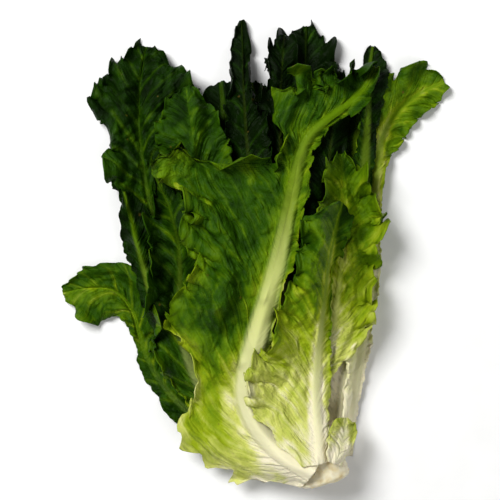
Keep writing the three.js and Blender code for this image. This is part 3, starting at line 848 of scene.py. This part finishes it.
class LeafGroupOperator:
    """Shared by the operators that each grow one group of leaves."""

    bl_options = {"REGISTER", "UNDO"}
    leaves = ()

    def execute(self, context):
        for spec in self.leaves:
            grow_leaf(spec, context.scene.lettuce_leaves)
        return {"FINISHED"}


class LETTUCE_OT_table_leaves(LeafGroupOperator, bpy.types.Operator):
    """Grow the outer leaves that the head lies on"""

    bl_idname = "lettuce.table_leaves"
    bl_label = "Table Leaves"
    leaves = TABLE_LEAVES


class LETTUCE_OT_outer_side_leaves(LeafGroupOperator, bpy.types.Operator):
    """Grow the tall left leaf and the right leaf with its pale stalk"""

    bl_idname = "lettuce.outer_side_leaves"
    bl_label = "Outer Side Leaves"
    leaves = OUTER_SIDE_LEAVES


# The stem's uneven skin, and the scars across it.
KNOB_SIZE, KNOB_DEPTH = 6 * MM, 0.5 * MM
SCAR_DEPTH = 0.35 * MM


class LETTUCE_OT_stem(bpy.types.Operator):
    """Shape the cut stem"""

    bl_idname = "lettuce.stem"
    bl_label = "Cut Stem"
    bl_options = {"REGISTER", "UNDO"}

    def execute(self, context):
        bm = merged_copy("cut_stem")
        bmesh.ops.subdivide_edges(bm, edges=bm.edges, cuts=5, use_grid_fill=True)
        bm.normal_update()
        points = np.array([v.co[:] for v in bm.verts])
        x, y, z = (points / KNOB_SIZE).T
        knobs = smooth_noise(x + z, 0.6 * y + z, 3)
        # Scars where older leaves have come away, 4 mm from one to the next.
        scars = np.sin(TURN * (y * 1.5 + 0.5 * smooth_noise(x, z, 5)))
        out = KNOB_DEPTH * knobs + SCAR_DEPTH * np.clip(scars, -0.4, 1)
        for v, push in zip(bm.verts, out):
            v.co = v.co + v.normal * push
        mesh = bpy.data.meshes.new("cut_stem_grown")
        bm.to_mesh(mesh)
        bm.free()
        mesh.polygons.foreach_set("use_smooth", [True] * len(mesh.polygons))
        mesh.materials.append(cut_stem_material())
        piece = bpy.data.objects.new("cut_stem_grown", mesh)
        context.scene.collection.objects.link(piece)
        stack.add(points)
        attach(piece, "root")
        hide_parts("cut_stem")
        return {"FINISHED"}


class LETTUCE_OT_back_leaves(LeafGroupOperator, bpy.types.Operator):
    """Grow the dark leaves whose tips show at the top"""

    bl_idname = "lettuce.back_leaves"
    bl_label = "Back Leaves"
    leaves = BACK_LEAVES


class LETTUCE_OT_young_leaves(LeafGroupOperator, bpy.types.Operator):
    """Grow the young leaves inside the head"""

    bl_idname = "lettuce.young_leaves"
    bl_label = "Young Leaves"
    leaves = YOUNG_LEAVES


class LETTUCE_OT_side_leaves(LeafGroupOperator, bpy.types.Operator):
    """Grow the leaves that fan out to the left and the rolled one at the top right"""

    bl_idname = "lettuce.side_leaves"
    bl_label = "Side Leaves"
    leaves = SIDE_LEAVES


class LETTUCE_OT_front_right_leaves(LeafGroupOperator, bpy.types.Operator):
    """Grow the dark leaf behind the big rib and the blistered leaf on the right"""

    bl_idname = "lettuce.front_right_leaves"
    bl_label = "Front Right Leaves"
    leaves = FRONT_RIGHT_LEAVES


class LETTUCE_OT_front_leaf(LeafGroupOperator, bpy.types.Operator):
    """Grow the big outer leaf with the thick pale rib"""

    bl_idname = "lettuce.front_leaf"
    bl_label = "Front Leaf"
    leaves = FRONT_LEAVES


class LETTUCE_OT_heart_leaves(LeafGroupOperator, bpy.types.Operator):
    """Grow the lime leaf over the big rib and the small ruffle at the base"""

    bl_idname = "lettuce.heart_leaves"
    bl_label = "Heart Leaves"
    leaves = HEART_LEAVES


def table_material():
    """Matt painted board, pale and nearly even, with a faint grain."""
    material = bpy.data.materials.new("pale_painted_board")
    material.use_nodes = True
    tree = material.node_tree
    board = tree.nodes["Principled BSDF"]
    spot = add_node(tree, "ShaderNodeTexCoord")
    grain = add_node(tree, "ShaderNodeTexNoise", {"Scale": 40.0}, {"Vector": spot.outputs["Object"]})
    tint = ramp(tree, grain.outputs[0], [(0.3, colour("#F9F9F8")), (0.7, colour("#FDFDFC"))])
    tree.links.new(tint, board.inputs["Base Color"])
    board.inputs["Roughness"].default_value = 0.8
    return material


TABLE_HALF = 4               # half of the table's side, in metres
TABLE_GAP = 0.2 * MM         # how far the table's top lies under the lowest place of the head
AIM = (0, 0, 30 * MM)        # what the lamps point at
KEY_LIGHT = dict(place=(-0.83, 0.72, 1.68), size=0.8, power=41)
FILL_LIGHT = dict(place=(0.96, -0.8, 1.84), size=1.4, power=11)
WORLD_LIGHT = 0.16
IN_VIEW = 335 * MM           # what the camera sees across, VIEW_HEIGHT above the table
VIEW_HEIGHT = 40 * MM
VIEW_SHIFT = 3 * MM          # how far the camera stands left of the head's middle


def add_light(name, place, size, power):
    """A square lamp that shines on the head."""
    light = bpy.data.lights.new(name, "AREA")
    light.size = size
    light.energy = power
    lamp = bpy.data.objects.new(name, light)
    bpy.context.scene.collection.objects.link(lamp)
    lamp.location = place
    direction = np.array(AIM) - np.array(place)
    lamp.rotation_euler = Vector(direction).to_track_quat("-Z", "Y").to_euler()
    return lamp


class LETTUCE_OT_stage(bpy.types.Operator):
    """Set the pale table, the studio lights and the camera above the head"""

    bl_idname = "lettuce.stage"
    bl_label = "Stage"
    bl_options = {"REGISTER", "UNDO"}

    def execute(self, context):
        low, high = CAD_BOX
        bm = bmesh.new()
        bmesh.ops.create_grid(bm, x_segments=2, y_segments=2, size=TABLE_HALF)
        mesh = bpy.data.meshes.new("table")
        bm.to_mesh(mesh)
        bm.free()
        mesh.materials.append(table_material())
        table = bpy.data.objects.new("table", mesh)
        context.scene.collection.objects.link(table)
        table.location.z = -TABLE_GAP
        add_light("key", **KEY_LIGHT)
        add_light("fill", **FILL_LIGHT)
        world = bpy.data.worlds.new("studio")
        world.use_nodes = True
        sky = world.node_tree.nodes["Background"]
        sky.inputs["Color"].default_value = (1, 1, 1, 1)
        sky.inputs["Strength"].default_value = WORLD_LIGHT
        context.scene.world = world
        lens = bpy.data.cameras.new("camera")
        lens.lens = 100
        lens.sensor_width = 36
        camera = bpy.data.objects.new("camera", lens)
        context.scene.collection.objects.link(camera)
        middle = [(low[k] + high[k]) / 2 for k in (0, 1)]
        distance = IN_VIEW * lens.lens / lens.sensor_width
        camera.location = (middle[0] - VIEW_SHIFT, middle[1], distance + VIEW_HEIGHT)
        context.scene.camera = camera
        context.scene.view_settings.view_transform = "Standard"
        return {"FINISHED"}


STEPS = (
    LETTUCE_OT_table_leaves, LETTUCE_OT_outer_side_leaves, LETTUCE_OT_stem, LETTUCE_OT_back_leaves,
    LETTUCE_OT_young_leaves, LETTUCE_OT_side_leaves, LETTUCE_OT_front_right_leaves, LETTUCE_OT_front_leaf,
    LETTUCE_OT_heart_leaves, LETTUCE_OT_stage,
)


class LETTUCE_PT_panel(bpy.types.Panel):
    """Lists the settings and the steps in the sidebar"""

    bl_label = "Cos Lettuce"
    bl_idname = "LETTUCE_PT_panel"
    bl_space_type = "VIEW_3D"
    bl_region_type = "UI"
    bl_category = "Lettuce"

    def draw(self, context):
        for step in STEPS:
            self.layout.operator(step.bl_idname)
        for group in (context.scene.lettuce_leaves, context.scene.lettuce_colours):
            for name in group.__annotations__:
                self.layout.prop(group, name)


CLASSES = (LettuceLeafSettings, LettuceColourSettings, *STEPS, LETTUCE_PT_panel)


def register():
    for cls in CLASSES:
        bpy.utils.register_class(cls)
    bpy.types.Scene.lettuce_leaves = PointerProperty(type=LettuceLeafSettings)
    bpy.types.Scene.lettuce_colours = PointerProperty(type=LettuceColourSettings)


def unregister():
    del bpy.types.Scene.lettuce_colours
    del bpy.types.Scene.lettuce_leaves
    for cls in reversed(CLASSES):
        bpy.utils.unregister_class(cls)


def main():
    register()
    for step in STEPS:
        group, name = step.bl_idname.split(".")
        getattr(getattr(bpy.ops, group), name)()


if __name__ == "__main__":
    main()
